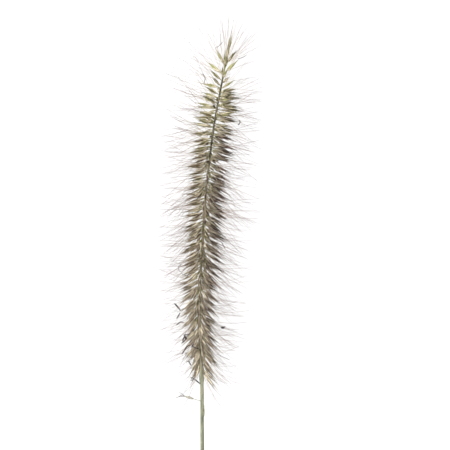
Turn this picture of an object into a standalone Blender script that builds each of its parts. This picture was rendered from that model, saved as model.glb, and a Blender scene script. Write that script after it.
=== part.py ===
"""A fountain grass plume, cut with a short stem and lying on a flat surface.

The stem and the seed head share one gently bowed axis. Small spikelets stand all round the
head, upright at its tip, level in its upper half and bent back towards the stem lower down,
and each has long bristles round its foot. Those under the head lie out along the surface.

Metres, +Z up. +Y runs from the cut end to the tip of the head. The origin is on the surface,
under the middle of the plume's footprint.
"""

import math
import random

import bmesh
import bpy
from mathutils import Matrix, Vector

MM = 0.001
QUARTER_TURN = math.radians(90)
WELD = 0.01 * MM
SLIVER = 0.001 * MM

# The axis, in millimetres: distance along from the foot of the head, sideways, height
AXIS = (
    (-40.0, 0.3, 6.4),
    (-20.0, 0.1, 7.9),
    (0.0, 0.0, 9.2),
    (16.0, -0.6, 10.1),
    (32.0, -1.2, 10.5),
    (49.0, 0.0, 10.7),
    (66.0, 1.0, 10.7),
    (84.0, 2.7, 10.6),
    (101.0, 5.0, 10.3),
    (117.0, 8.0, 9.8),
    (134.0, 11.0, 9.2),
)
FOOTPRINT_MIDDLE = Vector((3.16, 50.84, 0.0)) * MM

# The stem
STEM_FOOT = -40.0
STEM_RADIUS = 0.75 * MM
STEM_TOP_RADIUS = 0.68 * MM
STEM_STEP = 4.0
JOINT_GAP = 0.3

# The head's own stalk
RACHIS_TOP = 126.0
RACHIS_RADIUS = 0.66 * MM
RACHIS_TOP_RADIUS = 0.26 * MM
RACHIS_STEP = 6.0

# Where the spikelets stand, in millimetres along the axis
HEAD_SEED = 11
HEAD_FIRST = 5.4
HEAD_LAST = 112.0
GOLDEN_ANGLE = math.radians(137.508)
TURN_JITTER = math.radians(16)
LEAN_JITTER = math.radians(7)
SPACING = ((0, 0.68), (60, 0.66), (102, 0.64), (112, 0.78))
SPACING_SPREAD = (0.8, 1.2)
LEAN = (
    (0, 146), (10, 141), (20, 134), (30, 128), (45, 121), (60, 116), (75, 110),
    (90, 103), (100, 95), (107, 85), (112, 72),
)
REACH = ((0, 9.2), (15, 10.8), (70, 11.0), (90, 10.4), (105, 10.0), (112, 9.4))
REACH_SPREAD = (0.92, 1.06)
REACH_ON_RIGHT = 0.05

# Below this height the front of the stalk is bare: its spikelets stand at the sides and behind
BARE_FRONT_BELOW = 13.5
BARE_FRONT_RISE = 0.35

# The topmost spikelets stand apart: distance along, turn, lean and reach
TOP_SPIKELETS = (
    (112.5, 50, 60, 8.5), (113.0, 201, 88, 9.0), (113.4, 124, 71, 8.6), (114.6, 290, 66, 8.8),
    (115.5, 137, 68, 8.6), (116.3, 80, 62, 8.2), (117.0, 262, 58, 8.8), (118.0, 197, 63, 9.2),
    (118.2, 31, 41, 8.7), (119.6, 275, 42, 8.6), (120.4, 100, 36, 8.0), (121.2, 148, 43, 8.4),
    (121.5, 325, 31, 8.6), (122.6, 76, 8, 9.0), (125.5, 0, 3, 9.2),
)

# A spikelet: distance from its root and radius, in millimetres, for a reach of 10
SPIKELET_SIDES = 4
SPIKELET_STATIONS = ((0.0, 0.24), (2.2, 0.28), (4.4, 0.74), (10.0, 0.0))
SPIKELET_FLATTENING = 0.72
REACH_OF_MODEL = 10.0
SURFACE_CLEARANCE = 0.4 * MM

# A bristle: its far end is a point
BRISTLE_SIDES = 3
BRISTLE_STATIONS = ((0.0, 0.2), (20.0, 0.0))
BRISTLE_MODEL_LENGTH = BRISTLE_STATIONS[-1][0]
BRISTLES_EACH = 2
BRISTLE_LENGTH = (15.0, 20.5)
BRISTLE_SHARE = ((0, 0.9), (15, 1.0), (105, 1.0), (126, 0.84))
BRISTLE_SPREAD = (math.radians(14), math.radians(30))
LEAST_SINE = 0.35

# The withered spikelet that stands alone on the stem, below the head
LONE_ALONG = -6.1
LONE_TURN = math.radians(172)
LONE_LEAN = math.radians(72)
LONE_CLEARANCE = 0.36 * MM
LONE_STATIONS = ((0.0, 0.2), (2.6, 0.2), (4.6, 0.62), (8.0, 0.0))
LONE_BRISTLES = ((math.radians(24), 3.0, 4.6), (math.radians(-32), 3.4, 4.4))

# The narrow scale that lies along the stem under it
SCALE_FOOT = -12.0
SCALE_TURN = math.radians(20)
SCALE_CLEARANCE = 0.55 * MM
SCALE_STATIONS = ((0.0, 0.16), (1.1, 0.42), (3.4, 0.36), (4.8, 0.0))
SCALE_FLATTENING = 0.5

# Each material: its linear colour and its roughness
STRAW_GREEN = ((0.36, 0.37, 0.26, 1.0), 0.5)
SEED_BROWN = ((0.26, 0.21, 0.15, 1.0), 0.7)
WITHERED_GREY = ((0.30, 0.28, 0.24, 1.0), 0.8)
DRY_STRAW = ((0.42, 0.41, 0.30, 1.0), 0.6)


def read_table(table, along):
    """The value at a distance along, on straight lines between a table's points."""
    for (a, low), (b, high) in zip(table, table[1:]):
        if along <= b:
            return low + (high - low) * max(0.0, along - a) / (b - a)
    return table[-1][1]


def axis_point(along):
    """The point of the axis at a distance along, on a smooth curve through AXIS."""
    last = len(AXIS) - 1
    i = next((n for n in range(last - 1) if along < AXIS[n + 1][0]), last - 1)
    before, start, end, after = (AXIS[min(max(n, 0), last)] for n in (i - 1, i, i + 1, i + 2))
    span = end[0] - start[0]
    t = (along - start[0]) / span
    point = [along]
    for k in (1, 2):
        slope_start = (end[k] - before[k]) / (end[0] - before[0]) * span
        slope_end = (after[k] - start[k]) / (after[0] - start[0]) * span
        point.append(
            (2 * t**3 - 3 * t**2 + 1) * start[k]
            + (t**3 - 2 * t**2 + t) * slope_start
            + (3 * t**2 - 2 * t**3) * end[k]
            + (t**3 - t**2) * slope_end
        )
    return Vector((point[1], point[0], point[2])) * MM


def axis_direction(along):
    """The axis's direction, towards the tip."""
    return (axis_point(along + 0.5) - axis_point(along - 0.5)).normalized()


def direction_from_axis(along, turn, lean):
    """A direction that leans from the tip's by an angle, on the side that turn gives.

    A turn of 0 is to the right, and a quarter turn is up.
    """
    forward = axis_direction(along)
    right = forward.cross(Vector((0, 0, 1))).normalized()
    up = right.cross(forward)
    outward = right * math.cos(turn) + up * math.sin(turn)
    return forward * math.cos(lean) + outward * math.sin(lean)


def kept_above(root, direction, length, height):
    """The direction, raised where needed so that the far end stays above a height."""
    if root.z + direction.z * length >= height:
        return direction
    drop = (root.z - height) / length
    level = Vector((direction.x, direction.y, 0)).normalized()
    return level * math.sqrt(1 - drop**2) - Vector((0, 0, drop))


def spikelet_places():
    """(distance along, turn, lean, reach in metres) of each spikelet, foot to tip."""
    draw = random.Random(HEAD_SEED)
    places = []
    along, count = HEAD_FIRST, 0
    while along < HEAD_LAST:
        turn = count * GOLDEN_ANGLE + draw.uniform(-1, 1) * TURN_JITTER
        lean = math.radians(read_table(LEAN, along)) + draw.uniform(-1, 1) * LEAN_JITTER
        reach = read_table(REACH, along) * draw.uniform(*REACH_SPREAD) * MM
        reach *= 1 + REACH_ON_RIGHT * math.cos(turn)
        if along > BARE_FRONT_BELOW or math.sin(turn) < BARE_FRONT_RISE:
            places.append((along, turn, lean, reach))
        along += read_table(SPACING, along) * draw.uniform(*SPACING_SPREAD)
        count += 1
    for along, turn, lean, reach in TOP_SPIKELETS:
        places.append((along, math.radians(turn), math.radians(lean), reach * MM))
    return places


def material(name, colour, roughness):
    made = bpy.data.materials.new(name)
    made.use_nodes = True
    shader = made.node_tree.nodes["Principled BSDF"]
    shader.inputs["Base Color"].default_value = colour
    shader.inputs["Roughness"].default_value = roughness
    shader.inputs["Metallic"].default_value = 0.0
    return made


def collection(name):
    made = bpy.data.collections.new(name)
    bpy.context.scene.collection.children.link(made)
    return made


def add_object(name, data, where):
    made = bpy.data.objects.new(name, data)
    where.objects.link(made)
    return made


def stalk(name, start, end, step, start_radius, end_radius, where):
    """A round stalk along the axis, as a mesh with flat ends."""
    curve = bpy.data.curves.new(name, "CURVE")
    curve.dimensions = "3D"
    curve.bevel_depth = 1.0
    curve.bevel_resolution = 2
    curve.use_fill_caps = True
    count = round((end - start) / step) + 1
    spline = curve.splines.new("POLY")
    spline.points.add(count - 1)
    for n, point in enumerate(spline.points):
        t = n / (count - 1)
        point.co = (*axis_point(start + (end - start) * t), 1.0)
        point.radius = start_radius + (end_radius - start_radius) * t
    guide = add_object(name + "_guide", curve, where)
    bpy.context.view_layer.update()
    evaluated = guide.evaluated_get(bpy.context.evaluated_depsgraph_get())
    mesh = bpy.data.meshes.new_from_object(evaluated)
    bpy.data.objects.remove(guide)
    solid = bmesh.new()
    solid.from_mesh(mesh)
    bmesh.ops.remove_doubles(solid, verts=solid.verts, dist=WELD)
    solid.to_mesh(mesh)
    solid.free()
    mesh.name = name
    return add_object(name, mesh, where)


def spindle(name, sides, stations, flattening=1.0):
    """A mesh along +Z, with a ring at each (height, radius) and a point at the last."""
    solid = bmesh.new()
    (foot, foot_radius), (second, second_radius) = stations[:2]
    bmesh.ops.create_cone(
        solid, cap_ends=True, segments=sides, radius1=foot_radius, radius2=second_radius,
        depth=second - foot, matrix=Matrix.Translation((0, 0, (foot + second) / 2)),
    )
    for (low, low_radius), (high, high_radius) in zip(stations[1:], stations[2:]):
        end = max(solid.faces, key=lambda face: face.calc_center_median().z)
        end = bmesh.ops.extrude_discrete_faces(solid, faces=[end])["faces"][0]
        bmesh.ops.translate(solid, vec=(0, 0, high - low), verts=end.verts)
        if high_radius > 0:
            growth = high_radius / low_radius
            bmesh.ops.scale(solid, vec=(growth, growth, 1), verts=end.verts)
        else:
            bmesh.ops.pointmerge(solid, verts=end.verts, merge_co=(0, 0, high))
    bmesh.ops.scale(solid, vec=(1, flattening, 1), verts=solid.verts)
    bmesh.ops.recalc_face_normals(solid, faces=solid.faces)
    mesh = bpy.data.meshes.new(name)
    solid.to_mesh(mesh)
    solid.free()
    return mesh


def aimed(root, direction, scale):
    """The matrix that stands a mesh modelled along +Z on a root, in a direction."""
    turned = direction.to_track_quat("Z", "Y").to_matrix().to_4x4()
    return Matrix.Translation(root) @ turned @ scale


def add_copy(name, mesh, matrix, where):
    copy = mesh.copy()
    copy.transform(matrix)
    return add_object(name, copy, where)


def join_to(body, pieces):
    """Fuses a collection's objects into a body, and removes them."""
    union = body.modifiers.new("join", "BOOLEAN")
    union.operation = "UNION"
    union.solver = "MANIFOLD"
    union.operand_type = "COLLECTION"
    union.collection = pieces
    bpy.context.view_layer.update()
    evaluated = body.evaluated_get(bpy.context.evaluated_depsgraph_get())
    joined = bpy.data.meshes.new_from_object(evaluated)
    solid = bmesh.new()
    solid.from_mesh(joined)
    bmesh.ops.remove_doubles(solid, verts=solid.verts, dist=SLIVER)
    solid.to_mesh(joined)
    solid.free()
    joined.materials.clear()
    body.modifiers.clear()
    body.data = joined
    for piece in list(pieces.objects):
        bpy.data.objects.remove(piece)
    bpy.data.collections.remove(pieces)


def add_spikelets(where):
    spikelet = spindle("spikelet", SPIKELET_SIDES, SPIKELET_STATIONS, SPIKELET_FLATTENING)
    for n, (along, turn, lean, reach) in enumerate(spikelet_places()):
        root = axis_point(along)
        direction = direction_from_axis(along, turn, lean)
        direction = kept_above(root, direction, reach, SURFACE_CLEARANCE)
        scale = Matrix.Diagonal((MM, MM, reach / REACH_OF_MODEL, 1))
        add_copy(f"spikelet_{n}", spikelet, aimed(root, direction, scale), where)


def add_bristles(where):
    draw = random.Random(HEAD_SEED + 1)
    bristle = spindle("bristle", BRISTLE_SIDES, BRISTLE_STATIONS)
    for n, (along, turn, lean, _) in enumerate(spikelet_places()):
        start = draw.uniform(0, math.tau)
        for k in range(BRISTLES_EACH):
            around = start + math.tau * k / BRISTLES_EACH
            spread = draw.uniform(*BRISTLE_SPREAD)
            side = turn + spread * math.cos(around) / max(LEAST_SINE, math.sin(lean))
            tilt = lean + spread * math.sin(around)
            length = draw.uniform(*BRISTLE_LENGTH) * read_table(BRISTLE_SHARE, along) * MM
            root = axis_point(along)
            direction = kept_above(root, direction_from_axis(along, side, tilt), length, 0.0)
            scale = Matrix.Diagonal((MM, MM, length / BRISTLE_MODEL_LENGTH, 1))
            add_copy(f"bristle_{n}_{k}", bristle, aimed(root, direction, scale), where)


def build_head(where):
    """The head: its stalk with the spikelets and bristles that grow from it."""
    start = JOINT_GAP / 2
    head = stalk("head", start, RACHIS_TOP, RACHIS_STEP, RACHIS_RADIUS, RACHIS_TOP_RADIUS, where)
    repeats = collection("repeats")
    add_spikelets(repeats)
    add_bristles(repeats)
    join_to(head, repeats)
    head.data.materials.append(material("seed_brown", *SEED_BROWN))


def build_stem(where):
    """The stem, from its cut end to the foot of the head."""
    end = -JOINT_GAP / 2
    stem = stalk("stem", STEM_FOOT, end, STEM_STEP, STEM_RADIUS, STEM_TOP_RADIUS, where)
    stem.data.materials.append(material("straw_green", *STRAW_GREEN))


def build_lone_spikelet(where):
    """The withered spikelet on the stem, with the stubs of its bristles."""
    root = axis_point(LONE_ALONG)
    root += direction_from_axis(LONE_ALONG, LONE_TURN, QUARTER_TURN) * (STEM_RADIUS + LONE_CLEARANCE)
    direction = direction_from_axis(LONE_ALONG, LONE_TURN, LONE_LEAN)
    size = Matrix.Scale(MM, 4)
    mesh = spindle("lone_spikelet", SPIKELET_SIDES, LONE_STATIONS, SPIKELET_FLATTENING)
    mesh.transform(aimed(root, direction, size))
    body = add_object("lone_spikelet", mesh, where)
    stubs = collection("stubs")
    for n, (swing, start, length) in enumerate(LONE_BRISTLES):
        needle = spindle("stub", BRISTLE_SIDES, ((0.0, 0.2), (length, 0.0)))
        aim = Matrix.Rotation(swing, 3, "Z") @ direction
        add_copy(f"stub_{n}", needle, aimed(root + direction * start * MM, aim, size), stubs)
    join_to(body, stubs)
    body.data.materials.append(material("withered_grey", *WITHERED_GREY))


def build_stem_scale(where):
    """The narrow scale that lies along the stem."""
    outward = direction_from_axis(SCALE_FOOT, SCALE_TURN, QUARTER_TURN)
    root = axis_point(SCALE_FOOT) + outward * (STEM_RADIUS + SCALE_CLEARANCE)
    forward = axis_direction(SCALE_FOOT)
    turned = Matrix((outward.cross(forward), outward, forward)).transposed().to_4x4()
    mesh = spindle("stem_scale", SPIKELET_SIDES, SCALE_STATIONS, SCALE_FLATTENING)
    mesh.transform(Matrix.Translation(root) @ turned @ Matrix.Scale(MM, 4))
    scale = add_object("stem_scale", mesh, where)
    scale.data.materials.append(material("dry_straw", *DRY_STRAW))


def main():
    for old in list(bpy.data.objects):
        bpy.data.objects.remove(old)
    plume = collection("fountain_grass_plume")
    build_stem(plume)
    build_head(plume)
    build_lone_spikelet(plume)
    build_stem_scale(plume)
    for piece in plume.objects:
        piece.data.transform(Matrix.Translation(-FOOTPRINT_MIDDLE))


main()
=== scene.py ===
"""Dresses the fountain grass plume with its finished surfaces and its fine growth.

The plume lies on a pale floor and the camera looks straight down on it. Each plain solid of the
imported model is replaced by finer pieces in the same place: ribbed stalks, papery spikelet
scales, bristles, hairs and the dry threads that the flowers left.

Metres, +Z up. +Y runs from the cut end of the stem to the tip of the head.
"""

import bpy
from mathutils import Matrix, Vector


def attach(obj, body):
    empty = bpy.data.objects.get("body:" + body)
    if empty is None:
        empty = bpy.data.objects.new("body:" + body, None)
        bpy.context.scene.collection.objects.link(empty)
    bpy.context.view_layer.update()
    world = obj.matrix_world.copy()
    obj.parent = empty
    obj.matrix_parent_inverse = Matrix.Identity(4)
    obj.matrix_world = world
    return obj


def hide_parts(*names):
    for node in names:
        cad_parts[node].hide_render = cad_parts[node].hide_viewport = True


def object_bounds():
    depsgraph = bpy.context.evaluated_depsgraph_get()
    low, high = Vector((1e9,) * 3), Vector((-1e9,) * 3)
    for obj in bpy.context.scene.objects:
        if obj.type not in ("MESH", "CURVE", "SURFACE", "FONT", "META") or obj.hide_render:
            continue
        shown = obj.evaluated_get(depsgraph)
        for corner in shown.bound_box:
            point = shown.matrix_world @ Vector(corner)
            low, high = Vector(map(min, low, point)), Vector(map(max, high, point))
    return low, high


bl_info = {
    "name": "Fountain Grass Plume",
    "version": (1, 0, 0),
    "blender": (4, 5, 0),
    "location": "3D View > Sidebar > Plume",
    "description": "Grows a fountain grass plume with papery spikelets and long bristles",
    "category": "Add Mesh",
}

import math
import random

import bmesh
import bpy
from bpy.props import FloatProperty, FloatVectorProperty, IntProperty, PointerProperty
from mathutils import Matrix, Vector

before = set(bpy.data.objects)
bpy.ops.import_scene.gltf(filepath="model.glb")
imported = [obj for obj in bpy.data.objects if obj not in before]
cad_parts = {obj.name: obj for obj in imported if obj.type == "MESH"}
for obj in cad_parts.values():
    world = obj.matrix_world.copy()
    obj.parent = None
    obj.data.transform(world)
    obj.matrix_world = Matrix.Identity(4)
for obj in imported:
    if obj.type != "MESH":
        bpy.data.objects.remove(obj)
CAD_LOW, CAD_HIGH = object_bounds()

MM = 0.001
QUARTER_TURN = math.radians(90)
UP = Vector((0, 0, 1))

# The axis, in millimetres: distance along from the foot of the head, sideways, height
AXIS = (
    (-40, 0.3, 6.4), (-20, 0.1, 7.9), (0, 0, 9.2), (16, -0.6, 10.1), (32, -1.2, 10.5),
    (49, 0, 10.7), (66, 1, 10.7), (84, 2.7, 10.6), (101, 5, 10.3),
    (117, 8, 9.8), (134, 11, 9.2),
)
STEM_FOOT = -40
JOINT_GAP = 0.3
RACHIS_TOP = 126

# The cut end: how deep its ring of points is, and the width and depth of each step inwards
CUT_RING = 0.2 * MM
CUT_STEPS = ((0.14, -0.03), (0.1, -0.15))

# Where the spikelets stand, in millimetres along the axis, by the same rule as the solids
HEAD_SEED = 11
HEAD_FIRST = 5.4
HEAD_LAST = 112
GOLDEN_ANGLE = math.radians(137.508)
TURN_JITTER = math.radians(16)
LEAN_JITTER = math.radians(7)
SPACING = ((0, 0.68), (60, 0.66), (102, 0.64), (112, 0.78))
SPACING_SPREAD = (0.8, 1.2)
LEAN = (
    (0, 146), (10, 141), (20, 134), (30, 128), (45, 121), (60, 116), (75, 110),
    (90, 103), (100, 95), (107, 85), (112, 72),
)
REACH = ((0, 9.2), (15, 10.8), (70, 11), (90, 10.4), (105, 10), (112, 9.4))
REACH_SPREAD = (0.92, 1.06)
REACH_ON_RIGHT = 0.05

# Below this height the front of the stalk is bare: its spikelets stand at the sides and behind
BARE_FRONT_BELOW = 13.5
BARE_FRONT_RISE = 0.35

# The topmost spikelets stand apart: distance along, turn, lean and reach
TOP_SPIKELETS = (
    (112.5, 50, 60, 8.5), (113, 201, 88, 9), (113.4, 124, 71, 8.6), (114.6, 290, 66, 8.8),
    (115.5, 137, 68, 8.6), (116.3, 80, 62, 8.2), (117, 262, 58, 8.8), (118, 197, 63, 9.2),
    (118.2, 31, 41, 8.7), (119.6, 275, 42, 8.6), (120.4, 100, 36, 8), (121.2, 148, 43, 8.4),
    (121.5, 325, 31, 8.6), (122.6, 76, 8, 9), (125.5, 0, 3, 9.2),
)
SURFACE_CLEARANCE = 0.4 * MM

# Where a spikelet's scales start and its stalklet ends, in shares of its reach from the axis
FOOT_SHARE = 0.18
STALKLET_SHARE = 0.22

# A scale's outline: half width and rise of the back, as shares of its half width, foot to tip
LEMMA_ROWS = (
    (0.34, 0.10), (0.76, 0.50), (1, 0.86), (0.88, 0.90), (0.56, 0.66), (0.27, 0.36), (0.11, 0.16),
    (0, 0.05),
)
GLUME_ROWS = ((0.5, 0.2), (0.92, 0.7), (1, 1), (0.74, 0.94), (0.36, 0.7), (0, 0.5))
LEMMA_CUP = 0.85
GLUME_CUP = 0.9
SCALE_COLUMNS = 2
SCALE_THICKNESS = 0.05 * MM
NEAR = 0.01 * MM

# The sizes that the scales and the stalklet are modelled at
SPIKELET_SIZE = 10 * MM
LEMMA_SIZE = SPIKELET_SIZE * (1 - FOOT_SHARE)
GLUME_SIZE = LEMMA_SIZE * 0.6
STALKLET_SIZE = 2.4 * MM
STALKLET_RADII = (0.26, 0.15, 0.11, 0.12, 0.18, 0.16)

# How the scales differ: the second lemma's length as a share, how far each kind opens in
# degrees, how far a glume turns in radians, and a glume's length as a share
SECOND_LEMMA = (0.86, 0.96)
LEMMA_OPENING = (-1, 3)
GLUME_OPENING = (3, 8)
GLUME_TURN = 0.3
GLUME_STRETCH = (0.75, 1.15)

# The smaller spikelets that fill the gaps beside a spikelet: how often one grows, along the
# head, and for each side of it the share of that chance
COMPANY = ((0, 0.9), (14, 1), (98, 1), (108, 0.75), (112, 0.5), (114, 0))
COMPANY_SIDES = ((-1, 1), (1, 1), (0, 0.4))
COMPANY_SEED = 283

# How a smaller one stands to its spikelet: its turn, the turn's spread and its lift in degrees,
# its share of the reach, and its shift along in millimetres
COMPANY_TURN = 45
COMPANY_TURN_SPREAD = 25
COMPANY_LIFT = (-12, 10)
COMPANY_REACH = (0.84, 0.98)
COMPANY_SHIFT = (-1, 1.2)

# How wide the scales are, along the head
WIDTH = ((0, 1), (25, 1), (98, 1), (110, 1.35), (118, 1.6), (126, 1.5))

# How ripe the scales are and how purple, along the head: 0 is none and 1 is full
RIPENESS = (
    (0, 0.96), (20, 0.92), (32, 0.82), (45, 0.62), (60, 0.5), (88, 0.4), (102, 0.16), (112, 0.04),
)
PURPLE = (
    (0, 0.14), (15, 0.26), (28, 0.54), (45, 0.84), (70, 0.92), (92, 0.88), (102, 0.42), (112, 0.14),
    (118, 0.08), (126, 0.05),
)
TONE_SPREAD = 0.22

# The side where the spikelets are purpler and darker: partly their own purple, stronger where the
# sun reached, and partly painted shade on the side away from the soft box. Then how much of the
# purple is on the side away from it, how much more is on its own, and how fast it falls off between
# them
PURPLE_SIDE = math.radians(-12)
PURPLE_AWAY = 0.12
PURPLE_GAIN = 1.22
PURPLE_FALL = 1.5

# The bristles along the head: their length, number and thickness as shares, how many more there
# are on the right as a share, and their widest spread and their bend in degrees
BRISTLE_SHARE = ((0, 0.75), (20, 0.95), (60, 1), (90, 1.06), (114, 1.1), (126, 1))
BRISTLE_CROWDING = (
    (0, 0.35), (20, 0.65), (60, 0.95), (80, 0.85), (106, 0.75), (114, 1.15), (126, 1.8),
)
BRISTLE_FINENESS = ((0, 0.9), (30, 1), (100, 1), (112, 0.85), (120, 0.9))
BRISTLE_ON_RIGHT = ((0, 0.2), (36, 0.25), (60, 0.05), (80, -0.2), (112, -0.1), (120, 0))
BRISTLE_SPREAD = ((0, 36), (112, 40), (118, 42))
BRISTLE_BEND = ((0, 30), (30, 24), (50, 10), (65, -6), (80, -14), (95, -4), (110, 0))

# A bristle: its radii as shares, foot to tip, how thick the thinnest is and how much more the
# thickest is, its least spread, how much its bend and the side it bends to vary in degrees, its
# height over the floor in millimetres, and its foot as a share
BRISTLE_TAPER = (1, 0.98, 0.94, 0.89, 0.8, 0.66)
BRISTLE_THINNEST = 0.6
BRISTLE_THICKER = 0.9
BRISTLE_LEAST_SPREAD = 5
BRISTLE_BEND_SPREAD = 9
BRISTLE_SIDE_SPREAD = 40
BRISTLE_FLOOR = (0.1, 0.5)
BRISTLE_FOOT = (0.7, 1)

# The bristles are two pieces, one above and one below this place along the head
BRISTLE_SPLIT = 62

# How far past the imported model's box a bristle may reach, and how it is shortened until it fits
BOX_MARGIN = 0.2 * MM
SHORTENING = 0.94

# The down: where on the stalks it starts and ends, and its roots as a share of their radius
DOWN_FOOT = -11
DOWN_TOP = RACHIS_TOP - 2
DOWN_ROOT = 0.86

# The photograph's frame: what it spans in millimetres, its middle sideways and along from the
# foot of the head, its size in pixels, and the pixel where that foot is
PHOTO_SPAN = 171
PHOTO_MIDDLE = (8.78, 60.8)
PHOTO_PIXELS = 450
HEAD_FOOT_PIXEL = (201.9, 385)

# Withered anthers and threads, from the photograph: the pixels of foot and end, the bend from
# one to the other in degrees, and the radius in millimetres
THREADS = (
    (181, 264, 180, 272, 150, 0.07), (178.6, 308, 174, 303, 0, 0.2),
    (180, 313, 176.5, 319, -10, 0.15), (180.7, 321.8, 175.7, 325.5, 8, 0.15),
    (187.3, 334.5, 183, 334.6, 30, 0.16), (186.2, 336, 182, 341, 35, 0.18),
    (187, 338, 181, 343.6, -20, 0.17), (184.5, 335.5, 182.5, 340, -60, 0.13),
    (187.3, 346, 181.5, 354.5, 12, 0.16), (198, 348, 191.5, 345.4, -12, 0.15),
    (189, 361, 191.5, 366, 20, 0.14), (199.8, 383.5, 194, 378.8, 8, 0.17),
    (194, 378.8, 190, 377.7, 15, 0.13), (194.2, 379, 190.8, 380.8, -15, 0.12),
    (223, 328.2, 225.3, 325.8, 0, 0.17), (222.2, 326.6, 224.4, 328.8, 0, 0.15),
    (218, 354.5, 231, 361, 10, 0.06), (205, 79, 202.2, 73, 70, 0.1),
    (218, 47, 224, 41, 15, 0.06), (238, 59, 248, 55, 40, 0.07),
    (238, 125, 240, 120, 120, 0.1),
)
THREAD_TAPER = (0.55, 0.9, 1, 0.95, 1, 0.8)
THREAD_FULLNESS = 1.5

# More threads on the underside, below this place along the head
HIDDEN_THREADS = 14
HIDDEN_BELOW = 70

# What a thread may hang on: shares of a spikelet's reach, and how far off to the side it may be
PERCH_SHARES = (0.4, 0.5, 0.6, 0.7, 0.8, 0.9, 0.97)
PERCH_REACH = 1.3 * MM

# The painted shade in the furrows of the rachis: what it does to the rachis's colour
PAINTED_FURROW_SHADE = (0.62, 0.62, 0.58, 1)

# The ripeness and purple of what has withered
WITHERED = (0.9, 0.8)


def colour(code):
    """The linear colour of an sRGB hex value."""
    shares = [int(code[n:n + 2], 16) / 255 for n in (1, 3, 5)]
    return (*(s / 12.92 if s <= 0.04045 else ((s + 0.055) / 1.055) ** 2.4 for s in shares), 1.0)


def shade(name, code):
    return FloatVectorProperty(
        name=name, description="Colour: " + name, default=colour(code), size=4, min=0, max=1,
        subtype="COLOR")


def length(name, millimetres):
    return FloatProperty(
        name=name, description="Length: " + name, default=millimetres * MM, min=0,
        unit="LENGTH", precision=5)


def number(name, count):
    return IntProperty(name=name, description="Number: " + name, default=count, min=0)


class PlumeSizes(bpy.types.PropertyGroup):
    """What a user would change of the plume's shape."""

    stem_radius: length("Stem radius at the cut end", 0.75)
    stem_top_radius: length("Stem radius under the head", 0.68)
    rachis_radius: length("Rachis radius at its foot", 0.66)
    rachis_top_radius: length("Rachis radius at its tip", 0.34)
    lemma_half_width: length("Half the width of a long scale", 0.45)
    glume_half_width: length("Half the width of a short scale", 0.34)
    bristle_radius: length("Bristle radius at its foot", 0.054)
    bristle_shortest: length("Shortest bristle", 13.0)
    bristle_longest: length("Longest bristle", 24.0)
    bristles_each: number("Bristles round each spikelet", 6)
    bristles_small: number("Bristles round each smaller spikelet", 2)
    hair_length: length("Hairs on the stalks", 0.9)
    stalk_hairs: number("Hairs on the rachis and the top of the stem", 450)
    stalklet_hairs: number("Hairs on each stalklet", 3)
    anther_length: length("Withered anther", 2.8)


class PlumeColours(bpy.types.PropertyGroup):
    """The colours of the plume's materials."""

    stalk: shade("Stem", "#969a7c")
    # The darker stem tone of the fibres and furrows: partly their own colour, partly painted shade
    stalk_shadow: shade("Furrows between the stem's ribs", "#5d6049")
    stalk_dried: shade("Dried blotches on stem and rachis", "#a8a282")
    rachis_foot: shade("Foot of the rachis", "#85816c")
    rachis_green: shade("Middle of the rachis", "#71723d")
    rachis_dark: shade("Upper part of the rachis", "#3f382a")
    pith: shade("Cut end of the stem", "#cfc9a6")
    scale_foot: shade("Foot of each long scale", "#a99d7e")
    scale_green: shade("Scales near the head's tip", "#a6aa6c")
    scale_brown: shade("Scales in the head's middle", "#5f4b2f")
    scale_straw: shade("Scales at the head's foot", "#b2a692")
    # Purple of the tips and of one side; on that side it is partly painted shade
    scale_purple: shade("Tips and the side in the sun", "#3a2920")
    scale_margin: shade("Clear edges of the long scales", "#d6caae")
    glume: shade("Short pale scales", "#dad0b4")
    bristle: shade("Outer length of the bristles", "#6f5250")
    bristle_foot: shade("Foot of each bristle", "#c9bba4")
    hair: shade("Hairs on the stalks", "#d2c4a0")
    thread: shade("Dry anthers and threads", "#281c1c")
    withered: shade("Spikelet that died on the stem", "#b9b5a6")
    dry_scale: shade("Narrow scale on the stem", "#a3a282")
    floor: shade("Acrylic of the light table", "#5a5a5a")


class PlumeStage(bpy.types.PropertyGroup):
    """The light and the camera."""

    sky: FloatProperty(name="Sky", description="Strength of the light all round", default=1.0)
    key: FloatProperty(
        name="Key light", description="Power of the soft box", default=12.0, unit="POWER")
    table: FloatProperty(
        name="Light table", description="Strength of the light from under the floor", default=0.93)
    camera_height: FloatProperty(
        name="Camera height", description="Height of the camera over the plume", default=1.4,
        unit="LENGTH")


def in_metres(*millimetres):
    return [value * MM for value in millimetres]


def clamped(value):
    return min(1.0, max(0.0, value))


def read_table(table, along):
    """The value at a distance along, on straight lines between a table's points."""
    for (a, low), (b, high) in zip(table, table[1:]):
        if along <= b:
            return low + (high - low) * max(0.0, along - a) / (b - a)
    return table[-1][1]


def bowed_point(along):
    """The point of the axis at a distance along, from the foot of the head."""
    last = len(AXIS) - 1
    i = next((n for n in range(last - 1) if along < AXIS[n + 1][0]), last - 1)
    before, start, end, after = (AXIS[min(max(n, 0), last)] for n in (i - 1, i, i + 1, i + 2))
    span = end[0] - start[0]
    t = (along - start[0]) / span
    point = [along]
    for k in (1, 2):
        slope_start = (end[k] - before[k]) / (end[0] - before[0]) * span
        slope_end = (after[k] - start[k]) / (after[0] - start[0]) * span
        point.append(
            (2 * t**3 - 3 * t**2 + 1) * start[k]
            + (t**3 - 2 * t**2 + t) * slope_start
            + (3 * t**2 - 2 * t**3) * end[k]
            + (t**3 - t**2) * slope_end
        )
    return Vector((point[1], point[0], point[2])) * MM


def head_foot():
    """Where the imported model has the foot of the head, worked out from the stem's cut end."""
    corners = [v.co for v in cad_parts["stem"].data.vertices]
    low = min(co.y for co in corners)
    ring = [co for co in corners if co.y < low + CUT_RING]
    middle = Vector((min(co[k] for co in ring) + max(co[k] for co in ring)) / 2 for k in range(3))
    return middle - bowed_point(STEM_FOOT)


ORIGIN = head_foot()


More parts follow.
